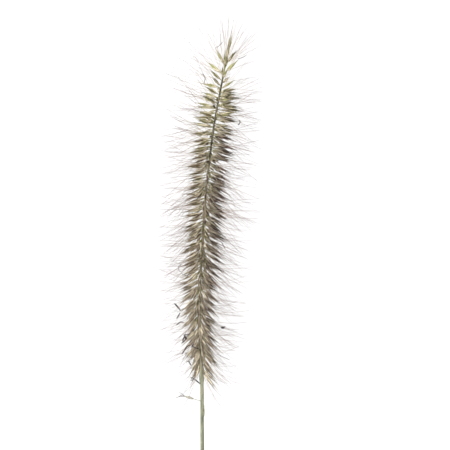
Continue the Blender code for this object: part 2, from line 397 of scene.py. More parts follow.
def axis_point(along):
    return ORIGIN + bowed_point(along)


def axis_direction(along):
    """The axis's direction, towards the tip."""
    return (bowed_point(along + 0.5) - bowed_point(along - 0.5)).normalized()


def direction_from_axis(along, turn, lean):
    """A direction that leans from the tip's by an angle, on the side that turn gives.

    A turn of 0 is to the right, and a quarter turn is up.
    """
    forward = axis_direction(along)
    right = forward.cross(UP).normalized()
    up = right.cross(forward)
    outward = right * math.cos(turn) + up * math.sin(turn)
    return forward * math.cos(lean) + outward * math.sin(lean)


def kept_above(root, direction, reach, height):
    """The direction, raised where needed so that the far end stays above a height."""
    if root.z + direction.z * reach >= height:
        return direction
    drop = (root.z - height) / reach
    level = Vector((direction.x, direction.y, 0)).normalized()
    return level * math.sqrt(1 - drop**2) - Vector((0, 0, drop))


def side_of(direction, draw):
    """A direction square to another, on a random side of it."""
    side = direction.orthogonal()
    side.rotate(Matrix.Rotation(draw.uniform(0, math.tau), 3, direction))
    return side


def strayed(direction, draw, least, most):
    """A direction pushed off by a random amount, to a random side."""
    return (direction + side_of(direction, draw) * draw.uniform(least, most)).normalized()


def is_bare(along, turn):
    """True on the front of the lowest stalk."""
    return along < BARE_FRONT_BELOW and math.sin(turn) > BARE_FRONT_RISE


def spikelet_places():
    """(distance along, turn, lean, reach) of each spikelet of the solids, foot to tip."""
    draw = random.Random(HEAD_SEED)
    places = []
    along, count = HEAD_FIRST, 0
    while along < HEAD_LAST:
        turn = count * GOLDEN_ANGLE + draw.uniform(-1, 1) * TURN_JITTER
        lean = math.radians(read_table(LEAN, along)) + draw.uniform(-1, 1) * LEAN_JITTER
        reach = read_table(REACH, along) * draw.uniform(*REACH_SPREAD) * MM
        reach *= 1 + REACH_ON_RIGHT * math.cos(turn)
        if not is_bare(along, turn):
            places.append((along, turn, lean, reach))
        along += read_table(SPACING, along) * draw.uniform(*SPACING_SPREAD)
        count += 1
    for along, turn, lean, reach in TOP_SPIKELETS:
        places.append((along, math.radians(turn), math.radians(lean), reach * MM))
    return places


class Spikelet:
    """A spikelet's place, direction, size and tone."""

    def __init__(self, along, turn, lean, reach, full, draw):
        self.along, self.turn, self.reach, self.full = along, turn, reach, full
        self.root = axis_point(along)
        wanted = direction_from_axis(along, turn, lean)
        self.direction = kept_above(self.root, wanted, reach, SURFACE_CLEARANCE)
        self.roll = draw.uniform(0, math.tau)
        self.chance = draw.random()
        self.width = read_table(WIDTH, along)
        ripeness = read_table(RIPENESS, along) + draw.uniform(-TONE_SPREAD, TONE_SPREAD)
        self.ripeness = clamped(ripeness)
        # The purple side: partly the spikelets' own purple, partly painted shade away from the soft
        # box
        purple_shade_side = (0.5 + 0.5 * math.cos(turn - PURPLE_SIDE)) ** PURPLE_FALL
        purple = read_table(PURPLE, along) * (PURPLE_AWAY + PURPLE_GAIN * purple_shade_side)
        self.purple = clamped(purple + draw.uniform(-TONE_SPREAD, TONE_SPREAD))

    def point(self, share):
        """The point at a share of the reach, from the axis."""
        return self.root + self.direction * self.reach * share


def spikelets():
    """The solids' spikelets, and the smaller ones that fill the gaps between them."""
    draw = random.Random(COMPANY_SEED)
    grown = []
    for along, turn, lean, reach in spikelet_places():
        grown.append(Spikelet(along, turn, lean, reach, True, draw))
        for beside, chance in COMPANY_SIDES:
            if draw.random() < read_table(COMPANY, along) * chance:
                spread = draw.uniform(-COMPANY_TURN_SPREAD, COMPANY_TURN_SPREAD)
                turned = turn + math.radians(COMPANY_TURN * beside + spread)
                leant = lean + math.radians(draw.uniform(*COMPANY_LIFT))
                smaller = reach * draw.uniform(*COMPANY_REACH)
                further = along + draw.uniform(*COMPANY_SHIFT)
                if not is_bare(further, turned):
                    grown.append(Spikelet(further, turned, leant, smaller, False, draw))
    return grown


def deselect():
    bpy.ops.object.select_all(action="DESELECT")


def edit(on):
    bpy.ops.object.mode_set(mode="EDIT" if on else "OBJECT")


def started(name):
    """Names the shape that was just added, puts its place in its mesh and starts to edit it."""
    shape = bpy.context.object
    shape.name = name
    bpy.ops.object.transform_apply(location=True, rotation=True, scale=True)
    edit(True)
    return shape


def select_points(test):
    """In edit mode, selects the points whose places pass a test, and no others."""
    mesh = bpy.context.object.data
    shape = bmesh.from_edit_mesh(mesh)
    for point in shape.verts:
        point.select_set(False)
    shape.select_flush(False)
    for point in shape.verts:
        if test(point.co):
            point.select_set(True)
    shape.select_flush(True)
    bmesh.update_edit_mesh(mesh)


def record_growth(piece, along):
    """Keeps how far along each point lies, for the materials, in the growth attribute."""
    growth = piece.data.attributes.new("growth", "FLOAT_COLOR", "POINT")
    for point, value in zip(piece.data.vertices, growth.data):
        value.color = (along(point.co), 0.5, 0.0, 0.0)


def model_scale(name, size, half_width, rows, cup):
    """One thin papery scale that grows along +Y from the origin, with its back up."""
    deselect()
    last = len(rows) - 1
    bpy.ops.mesh.primitive_grid_add(
        x_subdivisions=SCALE_COLUMNS, y_subdivisions=last, size=size, location=(0, size / 2, 0))
    scale = started(name)
    for n, (width, rise) in enumerate(rows):
        y = size * n / last
        edge = half_width * width
        select_points(lambda co: abs(co.y - y) < NEAR)
        bpy.ops.transform.translate(value=(0, 0, rise * half_width))
        if edge == 0:
            bpy.ops.mesh.merge(type="CENTER")
            continue
        bpy.ops.transform.resize(value=(2 * edge / size, 1, 1))
        select_points(lambda co: abs(co.y - y) < NEAR and abs(co.x) > edge * 0.9)
        bpy.ops.transform.translate(value=(0, 0, -cup * edge))
    edit(False)
    wall = scale.modifiers.new("wall", "SOLIDIFY")
    wall.thickness = SCALE_THICKNESS
    wall.offset = -1
    bpy.ops.object.modifier_apply(modifier=wall.name)
    bpy.ops.object.shade_smooth()
    record_growth(scale, lambda co: clamped(co.y / size))
    return scale


def close_shape():
    """In edit mode, turns every face outwards, and leaves edit mode."""
    bpy.ops.mesh.select_all(action="SELECT")
    bpy.ops.mesh.normals_make_consistent(inside=False)
    edit(False)


def model_tube(name, sides, size, radii):
    """A tapering tube along +Y with rings evenly spaced and a point at its far end."""
    deselect()
    bpy.ops.mesh.primitive_circle_add(
        vertices=sides, radius=radii[0], fill_type="NGON", rotation=(-QUARTER_TURN, 0, 0))
    tube = started(name)
    step = size / len(radii)
    for before, radius in zip(radii, (*radii[1:], 0)):
        bpy.ops.mesh.extrude_region_move(TRANSFORM_OT_translate={"value": (0, step, 0)})
        if radius > 0:
            bpy.ops.transform.resize(value=(radius / before, 1, radius / before))
        else:
            bpy.ops.mesh.merge(type="CENTER")
    close_shape()
    bpy.ops.object.shade_smooth()
    tube["step"] = step
    record_growth(tube, lambda co: co.y / size)
    return tube


def add_copy(model, growth):
    """A copy of a model with its own mesh, and with its own chance, ripeness and purple."""
    mesh = model.data.copy()
    for value in mesh.attributes["growth"].data:
        value.color = (value.color[0], *growth)
    copy = bpy.data.objects.new(model.name + "_copy", mesh)
    bpy.context.collection.objects.link(copy)
    return copy


def standing(root, direction, roll, size=1.0, stretch=1.0):
    """The matrix that stands a model grown along +Y on a root, in a direction."""
    right = direction.cross(UP)
    if right.length < 1e-4:
        right = Vector((1, 0, 0))
    right.normalize()
    turned = Matrix((right, direction, right.cross(direction))).transposed().to_4x4()
    sizes = Matrix.Diagonal((size, size * stretch, size, 1))
    return Matrix.Translation(root) @ turned @ Matrix.Rotation(roll, 4, "Y") @ sizes


def add_scale(model, spikelet, chance, opening, roll, stretch):
    """A copy of a scale at the foot of a spikelet, opened by some degrees."""
    scale = add_copy(model, (chance, spikelet.ripeness, spikelet.purple))
    foot, size = spikelet.point(FOOT_SHARE), spikelet.reach / SPIKELET_SIZE
    opened = Matrix.Rotation(math.radians(opening), 4, "X")
    broad = Matrix.Diagonal((spikelet.width, 1, spikelet.width, 1))
    scale.data.transform(standing(foot, spikelet.direction, roll, size, stretch) @ opened @ broad)
    return scale


def add_hair(model, root, heading, draw, shortest, longest):
    """A copy of a hair, stretched by a random share."""
    hair = add_copy(model, (draw.random(), 0.0, 0.0))
    hair.data.transform(standing(root, heading, 0, stretch=draw.uniform(shortest, longest)))
    return hair


def add_bent_copy(model, points, growth, thickness=1.0):
    """A copy of a tube whose rings follow a line of points, without twisting."""
    copy = add_copy(model, growth)
    rings = []
    side = (points[1] - points[0]).orthogonal().normalized()
    for n, point in enumerate(points):
        ahead = (points[min(n + 1, len(points) - 1)] - points[max(n - 1, 0)]).normalized()
        side = (side - ahead * side.dot(ahead)).normalized()
        rings.append((point, side, ahead.cross(side)))
    for vertex in copy.data.vertices:
        point, side, other = rings[round(vertex.co.y / model["step"])]
        vertex.co = point + (side * vertex.co.x + other * vertex.co.z) * thickness
    return copy


def join(pieces, name):
    """Joins copies into one piece at the origin, with its place in its mesh."""
    deselect()
    for piece in pieces:
        piece.select_set(True)
    bpy.context.view_layer.objects.active = pieces[0]
    bpy.ops.object.join()
    joined = bpy.context.object
    joined.name = name
    joined.data.name = name
    return joined


def settle(piece, material, node):
    """Gives a finished piece its material and its body, and hides the solid that it stands for."""
    piece.data.materials.clear()
    piece.data.materials.append(material)
    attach(piece, "root")
    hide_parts(node)


def remove(*models):
    for model in models:
        bpy.data.objects.remove(model)


def grow_stalk(name, start, end, step, sides, radius, top_radius, groove):
    """A ribbed stalk along the axis, with every second corner of its section pulled in."""
    deselect()
    count = round((end - start) / step)
    places = [axis_point(start + (end - start) * n / count) for n in range(count + 1)]
    turned = axis_direction(start).to_track_quat("Z", "Y").to_euler()
    bpy.ops.mesh.primitive_circle_add(
        vertices=sides, radius=radius, fill_type="NGON", location=places[0], rotation=turned)
    stalk = started(name)
    shape = bmesh.from_edit_mesh(stalk.data)
    shape.verts.ensure_lookup_table()
    furrows = {tuple(shape.verts[n].co) for n in range(0, sides, 2)}
    select_points(lambda co: tuple(co) in furrows)
    bpy.ops.transform.resize(value=(groove,) * 3, center_override=places[0])
    bpy.ops.mesh.select_all(action="SELECT")
    taper = (top_radius / radius) ** (1 / count)
    for before, place in zip(places, places[1:]):
        bpy.ops.mesh.extrude_region_move(TRANSFORM_OT_translate={"value": place - before})
        bpy.ops.transform.resize(value=(taper,) * 3)
    close_shape()
    bpy.ops.object.shade_smooth_by_angle(angle=math.radians(50))
    return stalk


def add_node(tree, kind, inputs=None, stops=None, **settings):
    """Adds a node. An input is a value, or an output of another node to link."""
    node = tree.nodes.new(kind)
    for name, value in settings.items():
        setattr(node, name, value)
    for key, value in (inputs or {}).items():
        if isinstance(value, bpy.types.NodeSocket):
            tree.links.new(value, node.inputs[key])
        else:
            node.inputs[key].default_value = value
    if stops:
        ramp = node.color_ramp
        ends = (ramp.elements[0], ramp.elements[1])
        for element, (place, value) in zip(ends, (stops[0], stops[-1])):
            element.position, element.color = place, value
        for place, value in stops[1:-1]:
            ramp.elements.new(place).color = value
    return node


def mixed(tree, share, first, second, blend_type="MIX"):
    """A mix of two colours, by a share."""
    inputs = {0: share, 6: first, 7: second}
    return add_node(
        tree, "ShaderNodeMix", inputs, data_type="RGBA", blend_type=blend_type).outputs[2]


def multiplied(tree, tone, factor):
    return mixed(tree, 1.0, tone, factor, "MULTIPLY")


def calculated(tree, operation, *values):
    """The result of an operation on one value or two."""
    return add_node(
        tree, "ShaderNodeMath", dict(enumerate(values)), operation=operation).outputs["Value"]


def ranged(tree, value, found=(0.0, 1.0), wanted=(0.0, 1.0)):
    """A value carried over from one range to another, and kept within it."""
    return add_node(tree, "ShaderNodeMapRange", {
        "Value": value, "From Min": found[0], "From Max": found[1], "To Min": wanted[0],
        "To Max": wanted[1]}).outputs["Result"]


def ramped(tree, share, stops):
    """A colour from a ramp of several."""
    return add_node(tree, "ShaderNodeValToRGB", {"Fac": share}, stops=stops).outputs["Color"]


def noise(tree, across, along, detail):
    """Noise in a piece's own space, by how often it varies in a metre across and along."""
    place = add_node(tree, "ShaderNodeTexCoord").outputs["Object"]
    stretched = add_node(
        tree, "ShaderNodeMapping", {"Vector": place, "Scale": (across, along, across)})
    return add_node(tree, "ShaderNodeTexNoise", {
        "Vector": stretched.outputs["Vector"], "Scale": 1.0, "Detail": detail}).outputs["Fac"]


def growth_values(tree):
    """What the growth attribute holds: the share along, the chance, ripeness and purple."""
    growth = add_node(tree, "ShaderNodeAttribute", attribute_name="growth")
    parts = add_node(tree, "ShaderNodeSeparateColor", {"Color": growth.outputs["Color"]}).outputs
    return parts["Red"], parts["Green"], parts["Blue"], growth.outputs["Alpha"]


def across_scale(tree):
    """How far across a scale a point is, from 0 to 1, and how far off the middle."""
    place = add_node(tree, "ShaderNodeUVMap", uv_map="UVMap").outputs["UV"]
    across = add_node(tree, "ShaderNodeSeparateXYZ", {"Vector": place}).outputs["X"]
    return across, calculated(tree, "ABSOLUTE", calculated(tree, "SUBTRACT", across, 0.5))


def new_material(name):
    """A material with an empty tree, and that tree."""
    material = bpy.data.materials.new(name)
    material.use_nodes = True
    material.node_tree.nodes.clear()
    return material, material.node_tree


def finish_material(tree, base, roughness, height=None, depth=0.02, **inputs):
    """Ends a tree in a Principled surface, with bumps from a height where there is one."""
    values = {"Base Color": base, "Roughness": roughness, "IOR": 1.45, **inputs}
    if height is not None:
        bump = add_node(tree, "ShaderNodeBump", {"Height": height, "Distance": depth * MM})
        values["Normal"] = bump.outputs["Normal"]
    surface = add_node(tree, "ShaderNodeBsdfPrincipled", values)
    add_node(tree, "ShaderNodeOutputMaterial", {"Surface": surface.outputs["BSDF"]})


def grass_stalk_material(name, colours, stops=None):
    """Dry grass stalk, grown: satin skin with fine lengthwise fibres and dull furrows, darkened
    with painted shade.
    """
    material, tree = new_material(name)
    base, groove = colours.stalk, colours.stalk_shadow
    if stops:
        base = ramped(tree, growth_values(tree)[0], stops)
        # The rachis's darker tone: its own colour darkened with painted shade for the furrows
        groove = multiplied(tree, base, PAINTED_FURROW_SHADE)
    # Fibres about 0.12 mm wide and 12 mm long, between the base and a darker tone that is partly
    # their own colour and partly painted shade
    grain = noise(tree, 8000, 80, 2)
    tone = mixed(tree, ranged(tree, grain, (0.35, 0.7)), groove, base)
    # Blotches about 4 mm long, where the skin has dried unevenly
    dried = ranged(tree, noise(tree, 250, 250, 1), (0.45, 0.7), (0, 0.3))
    tone = mixed(tree, dried, tone, colours.stalk_dried)
    # Furrows about 0.4 mm wide and 30 mm long, darkened with painted shade
    furrow_shade = ranged(tree, noise(tree, 2500, 33, 0), (0.4, 0.55), (0.6, 1))
    tone = multiplied(tree, tone, furrow_shade)
    finish_material(tree, tone, 0.5, grain, depth=0.03)
    return material


def scale_material(colours):
    """Papery grass scale, grown: matt, pale at its foot and purple at its tip, with dark nerves
    and thin clear margins."""
    material, tree = new_material("papery_lemma")
    along, chance, ripeness, purple = growth_values(tree)
    ripe = ramped(tree, ripeness, (
        (0, colours.scale_green), (0.45, colours.scale_brown), (1, colours.scale_straw)))
    tone = mixed(tree, ranged(tree, along, (0, 0.22)), colours.scale_foot, ripe)
    # Purple comes in from the tip, and further down the purpler the spikelet is
    reach = ranged(tree, calculated(tree, "ADD", along, purple), (0.62, 1.35))
    tone = mixed(tree, reach, tone, colours.scale_purple)
    # Five dark nerves, about 0.2 mm apart, with the skin raised between them
    across, off_middle = across_scale(tree)
    waves = calculated(tree, "COSINE", calculated(tree, "MULTIPLY", across, 5 * math.tau))
    nerve = ranged(tree, waves, (-1, -0.2), (0.5, 0))
    tone = mixed(tree, nerve, tone, colours.scale_purple)
    # The back is darker than the flanks, the more so the purpler the spikelet is
    back = ranged(tree, off_middle, (0.12, 0.28), (0.55, 0))
    back = calculated(tree, "MULTIPLY", back, ranged(tree, purple, (0, 0.6), (0.3, 1)))
    tone = mixed(tree, back, tone, colours.scale_purple)
    # The margins are clear, and stained where the spikelet is purple
    margin = ranged(tree, off_middle, (0.36, 0.49), (0, 0.7))
    margin = calculated(tree, "MULTIPLY", margin, ranged(tree, purple, wanted=(1, 0.3)))
    tone = mixed(tree, margin, tone, colours.scale_margin)
    # Each scale has its own lightness
    tone = multiplied(tree, tone, ranged(tree, chance, wanted=(0.45, 1.2)))
    finish_material(tree, tone, 0.62, waves, depth=0.02)
    return material


def glume_material(colours):
    """Membranous glume, grown: a pale, thin and dull skin with one brown nerve."""
    material, tree = new_material("membranous_glume")
    along, chance, ripeness, purple = growth_values(tree)
    tip = mixed(tree, ripeness, colours.scale_green, colours.scale_straw)
    tip = mixed(tree, purple, tip, colours.scale_purple)
    tone = mixed(tree, ranged(tree, along, (0.5, 1), (0, 0.5)), colours.glume, tip)
    nerve = ranged(tree, across_scale(tree)[1], (0.03, 0.14), (0.65, 0))
    tone = mixed(tree, nerve, tone, colours.scale_purple)
    tone = multiplied(tree, tone, ranged(tree, chance, wanted=(0.8, 1.15)))
    # Purpler glumes are darker: their own purple and, on the purple side, painted shade
    tone = multiplied(tree, tone, ranged(tree, purple, (0.4, 1), (1, 0.5)))
    finish_material(tree, tone, 0.6, nerve, depth=0.02)
    return material


def bristle_material(name, foot, outer, fade=0.35):
    """Grass bristle, grown: stiff and faintly glossy, one colour at the foot, another beyond."""
    material, tree = new_material(name)
    along, chance = growth_values(tree)[:2]
    tone = mixed(tree, ranged(tree, along, (0.05, fade)), foot, outer)
    # Barbs too fine to see one by one break the colour up every 0.5 mm
    light = calculated(tree, "ADD", chance, noise(tree, 2000, 2000, 2))
    tone = multiplied(tree, tone, ranged(tree, light, (0.3, 1.7), (0.6, 1.6)))
    finish_material(tree, tone, 0.45)
    return material


def plain_growth_material(name, base, dark, roughness, burnt=None):
    """Withered plant skin: dull, with darker shreds, and burnt where growth's alpha is high."""
    material, tree = new_material(name)
    shreds = noise(tree, 1600, 1600, 3)
    tone = mixed(tree, ranged(tree, shreds, (0.38, 0.66)), dark, base)
    if burnt:
        tone = mixed(tree, growth_values(tree)[3], tone, burnt)
    finish_material(tree, tone, roughness, shreds, depth=0.03)
    return material


def marched(root, heading, size, steps, axis, bend, floor):
    """Points along a bowed path of a given length that lies down where it meets a floor."""
    step = size / steps
    turn = Matrix.Rotation(bend / steps, 3, axis)
    points = [root]
    heading = heading.copy()
    for _ in range(steps):
        heading = turn @ heading
        heading = kept_above(points[-1], heading, step, floor)
        points.append(points[-1] + heading * step)
    return points


def photo_point(x, y):
    """The place on the axis's level that a pixel of the photograph shows."""
    step = PHOTO_SPAN / PHOTO_PIXELS
    across, along = (x - HEAD_FOOT_PIXEL[0]) * step, (HEAD_FOOT_PIXEL[1] - y) * step
    return ORIGIN + Vector((across, along, bowed_point(along).z / MM)) * MM


def perches(grown):
    """Places on the spikelets and the head's stalk that may carry a thread."""
    places = [s.point(share) for s in grown for share in PERCH_SHARES]
    return places + [axis_point(along) for along in range(1, round(RACHIS_TOP))]


def perch(places, seen):
    """The highest of the places that lie under a place seen from above, or else the nearest."""
    off = [math.hypot(at.x - seen.x, at.y - seen.y) for at in places]
    under = [at for at, distance in zip(places, off) if distance < PERCH_REACH]
    return max(under, key=lambda at: at.z) if under else places[off.index(min(off))]


def darkened(shade_of, share):
    """A colour at a share of its lightness."""
    return (*(value * share for value in shade_of[:3]), 1.0)


def inside_cad(points):
    """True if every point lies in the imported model's box, or hardly past it."""
    return all(
        CAD_LOW[k] - BOX_MARGIN < point[k] < CAD_HIGH[k] + BOX_MARGIN
        for point in points for k in range(3))


class Grower:
    """What the operators that grow a piece share."""

    def execute(self, context):
        self.grow(context.scene.plume_sizes, context.scene.plume_colours)
        return {"FINISHED"}


class PLUME_OT_stem(Grower, bpy.types.Operator):
    """Grow the stem, ribbed, with a cut end that shows its pith"""

    bl_idname = "plume.stem"
    bl_label = "Stem"

    def grow(self, sizes, colours):
        stem = grow_stalk(
            "grass_stem", STEM_FOOT, JOINT_GAP, step=1.0, sides=24, radius=sizes.stem_radius,
            top_radius=sizes.stem_top_radius, groove=0.93)
        edit(True)
        low = min(v.co.y for v in stem.data.vertices)
        select_points(lambda co: co.y < low + CUT_RING)
        for width, depth in CUT_STEPS:
            bpy.ops.mesh.inset(thickness=width * MM, depth=depth * MM)
        edit(False)
        settle(stem, grass_stalk_material("grass_stalk_skin", colours), "stem")
        pith = plain_growth_material("cut_pith", colours.pith, colours.stalk, 0.8)
        stem.data.materials.append(pith)
        for face in stem.data.polygons:
            face.material_index = int(face.normal.y < -0.9 and face.center.y < low + MM)


class PLUME_OT_rachis(Grower, bpy.types.Operator):
    """Grow the head's stalk and the stalklets that carry its spikelets"""

    bl_idname = "plume.rachis"
    bl_label = "Rachis"

    def grow(self, sizes, colours):
        rachis = grow_stalk(
            "rachis", JOINT_GAP / 2, RACHIS_TOP, step=1.5, sides=20, radius=sizes.rachis_radius,
            top_radius=sizes.rachis_top_radius, groove=0.9)
        record_growth(rachis, lambda co: (co.y - ORIGIN.y) / (RACHIS_TOP * MM))
        skin = grass_stalk_material("rachis_skin", colours, stops=(
            (0.0, colours.stalk), (0.08, colours.rachis_foot), (0.34, colours.rachis_foot),
            (0.44, colours.rachis_green), (0.52, colours.rachis_green),
            (0.62, colours.rachis_dark), (0.9, colours.rachis_dark), (1.0, colours.scale_green)))
        settle(rachis, skin, "head")
        model = model_tube("stalklet_model", 6, STALKLET_SIZE, in_metres(*STALKLET_RADII))
        stalklets = []
        for spikelet in spikelets():
            growth = (spikelet.chance, spikelet.ripeness, spikelet.purple)
            stalklet = add_copy(model, growth)
            stretch = spikelet.reach * STALKLET_SHARE / STALKLET_SIZE
            stalklet.data.transform(standing(
                spikelet.root, spikelet.direction, spikelet.roll, stretch=stretch))
            stalklets.append(stalklet)
        skin = bristle_material("stalklet_skin", colours.rachis_dark, colours.rachis_green)
        settle(join(stalklets, "stalklets"), skin, "head")
        remove(model)


class PLUME_OT_spikelets(Grower, bpy.types.Operator):
    """Grow the spikelets' long scales and the short pale ones at their feet"""

    bl_idname = "plume.spikelets"
    bl_label = "Spikelets"

    def grow(self, sizes, colours):
        lemma = model_scale(
            "lemma_model", LEMMA_SIZE, sizes.lemma_half_width, LEMMA_ROWS, LEMMA_CUP)
        glume = model_scale(
            "glume_model", GLUME_SIZE, sizes.glume_half_width, GLUME_ROWS, GLUME_CUP)
        draw = random.Random(HEAD_SEED + 3)
        lemmas, glumes = [], []
        for spikelet in spikelets():
            for half, share in ((0, 1.0), (1, draw.uniform(*SECOND_LEMMA))):
                roll = spikelet.roll + half * math.pi
                opening = draw.uniform(*LEMMA_OPENING)
                lemmas.append(add_scale(lemma, spikelet, draw.random(), opening, roll, share))
                chance = draw.random()
                opening = draw.uniform(*GLUME_OPENING)
                roll += QUARTER_TURN + draw.uniform(-GLUME_TURN, GLUME_TURN)
                share = draw.uniform(*GLUME_STRETCH)
                glumes.append(add_scale(glume, spikelet, chance, opening, roll, share))
        settle(join(lemmas, "lemmas"), scale_material(colours), "head")
        settle(join(glumes, "glumes"), glume_material(colours), "head")
        remove(lemma, glume)


class PLUME_OT_bristles(Grower, bpy.types.Operator):
    """Grow the long bristles from the foot of every spikelet"""

    bl_idname = "plume.bristles"
    bl_label = "Bristles"

    def grow(self, sizes, colours):
        radii = [sizes.bristle_radius * share for share in BRISTLE_TAPER]
        model = model_tube("bristle_model", 3, 12 * MM, radii)
        draw = random.Random(HEAD_SEED + 4)
        upper, lower = [], []
        for spikelet in spikelets():
            where = upper if spikelet.along > BRISTLE_SPLIT else lower
            count = sizes.bristles_each if spikelet.full else sizes.bristles_small
            count *= read_table(BRISTLE_CROWDING, spikelet.along)
            count *= 1 + read_table(BRISTLE_ON_RIGHT, spikelet.along) * math.cos(spikelet.turn)
            widest = read_table(BRISTLE_SPREAD, spikelet.along) - BRISTLE_LEAST_SPREAD
            for _ in range(round(count + draw.uniform(-0.5, 0.5))):
                side = side_of(spikelet.direction, draw)
                spread = math.radians(BRISTLE_LEAST_SPREAD + widest * draw.random() ** 0.8)
                heading = spikelet.direction.copy()
                heading.rotate(Matrix.Rotation(spread, 3, side))
                root = spikelet.point(FOOT_SHARE * draw.uniform(*BRISTLE_FOOT))
                bend = read_table(BRISTLE_BEND, spikelet.along)
                bend = math.radians(bend + draw.gauss(0, BRISTLE_BEND_SPREAD))
                axis = heading.cross(axis_direction(spikelet.along)).normalized()
                strayed_by = math.radians(draw.gauss(0, BRISTLE_SIDE_SPREAD))
                axis.rotate(Matrix.Rotation(strayed_by, 3, heading))
                size = draw.uniform(sizes.bristle_shortest, sizes.bristle_longest)
                size *= read_table(BRISTLE_SHARE, spikelet.along)
                floor = draw.uniform(*BRISTLE_FLOOR) * MM
                points = marched(root, heading, size, len(radii), axis, bend, floor)
                while not inside_cad(points):
                    size *= SHORTENING
                    points = marched(root, heading, size, len(radii), axis, bend, floor)
                growth = (draw.random(), spikelet.ripeness, spikelet.purple)
                thickness = BRISTLE_THINNEST + BRISTLE_THICKER * draw.random() ** 2
                thickness *= read_table(BRISTLE_FINENESS, spikelet.along)
                where.append(add_bent_copy(model, points, growth, thickness))
        material = bristle_material("grass_bristle", colours.bristle_foot, colours.bristle, 0.7)
        settle(join(upper, "bristles_upper"), material, "head")
        settle(join(lower, "bristles_lower"), material, "head")
        remove(model)


class PLUME_OT_hairs(Grower, bpy.types.Operator):
    """Grow the short down on the head's stalk and the top of the stem"""

    bl_idname = "plume.hairs"
    bl_label = "Hairs"

    def grow(self, sizes, colours):
        model = model_tube("hair_model", 3, sizes.hair_length, in_metres(0.035, 0.022))
        draw = random.Random(HEAD_SEED + 5)
        hairs = []
        for _ in range(sizes.stalk_hairs):
            along = draw.uniform(DOWN_FOOT, DOWN_TOP)
            radius = sizes.stem_top_radius
            if along > 0:
                radius = sizes.rachis_radius + along / RACHIS_TOP * (
                    sizes.rachis_top_radius - sizes.rachis_radius)
            turn = draw.uniform(0, math.tau)
            outward = direction_from_axis(along, turn, QUARTER_TURN)
            heading = direction_from_axis(along, turn, math.radians(draw.uniform(35, 110)))
            root = axis_point(along) + outward * radius * DOWN_ROOT
            hairs.append(add_hair(model, root, heading, draw, 0.5, 1.3))
        for spikelet in spikelets():
            for _ in range(sizes.stalklet_hairs):
                root = spikelet.point(STALKLET_SHARE * draw.uniform(0.1, 1.0))
                heading = strayed(spikelet.direction, draw, 0.3, 1.2)
                hairs.append(add_hair(model, root, heading, draw, 0.8, 2.2))
        material = bristle_material("stalk_down", colours.hair, colours.hair)
        settle(join(hairs, "stalk_hairs"), material, "head")
        remove(model)


class PLUME_OT_threads(Grower, bpy.types.Operator):
    """Hang the withered anthers and threads of the old flowers on the spikelets"""

    bl_idname = "plume.threads"
    bl_label = "Threads"

    def grow(self, sizes, colours):
        model = model_tube("thread_model", 5, 3 * MM, in_metres(*THREAD_TAPER))
        draw = random.Random(HEAD_SEED + 6)
        steps = len(THREAD_TAPER)
        grown = spikelets()
        places = perches(grown)
        threads = []
        for foot_x, foot_y, end_x, end_y, bend, radius in THREADS:
            foot, end = photo_point(foot_x, foot_y), photo_point(end_x, end_y)
            held = perch(places, foot)
            foot.z = held.z + 2 * radius * MM
            end.z = foot.z
            chord = end - foot
            half = math.radians(bend) / 2
            size = chord.length * (half / math.sin(half) if bend else 1.0)
            heading = Matrix.Rotation(-half, 3, UP) @ chord.normalized()
            points = marched(foot, heading, size, steps - 1, UP, 2 * half, radius * MM)
            points.insert(0, held)
            growth = (draw.random(), *WITHERED)
            threads.append(add_bent_copy(model, points, growth, radius * THREAD_FULLNESS))
        carriers = [s for s in grown if s.along < HIDDEN_BELOW and math.sin(s.turn) < -0.5]
        for spikelet in draw.sample(carriers, HIDDEN_THREADS):
            heading = strayed(spikelet.direction, draw, 0.2, 1.2)
            size = sizes.anther_length * draw.uniform(0.8, 1.1)
            radius = draw.uniform(0.13, 0.19)
            bend = math.radians(draw.uniform(-40, 40))
            root = spikelet.point(draw.uniform(0.7, 0.95))
            points = marched(root, heading, size, steps, UP, bend, radius * MM)
            threads.append(add_bent_copy(model, points, (draw.random(), *WITHERED), radius))
        material = plain_growth_material(
            "withered_anther", colours.thread, darkened(colours.thread, 0.5), 0.7)
        settle(join(threads, "dry_threads"), material, "head")
        remove(model)


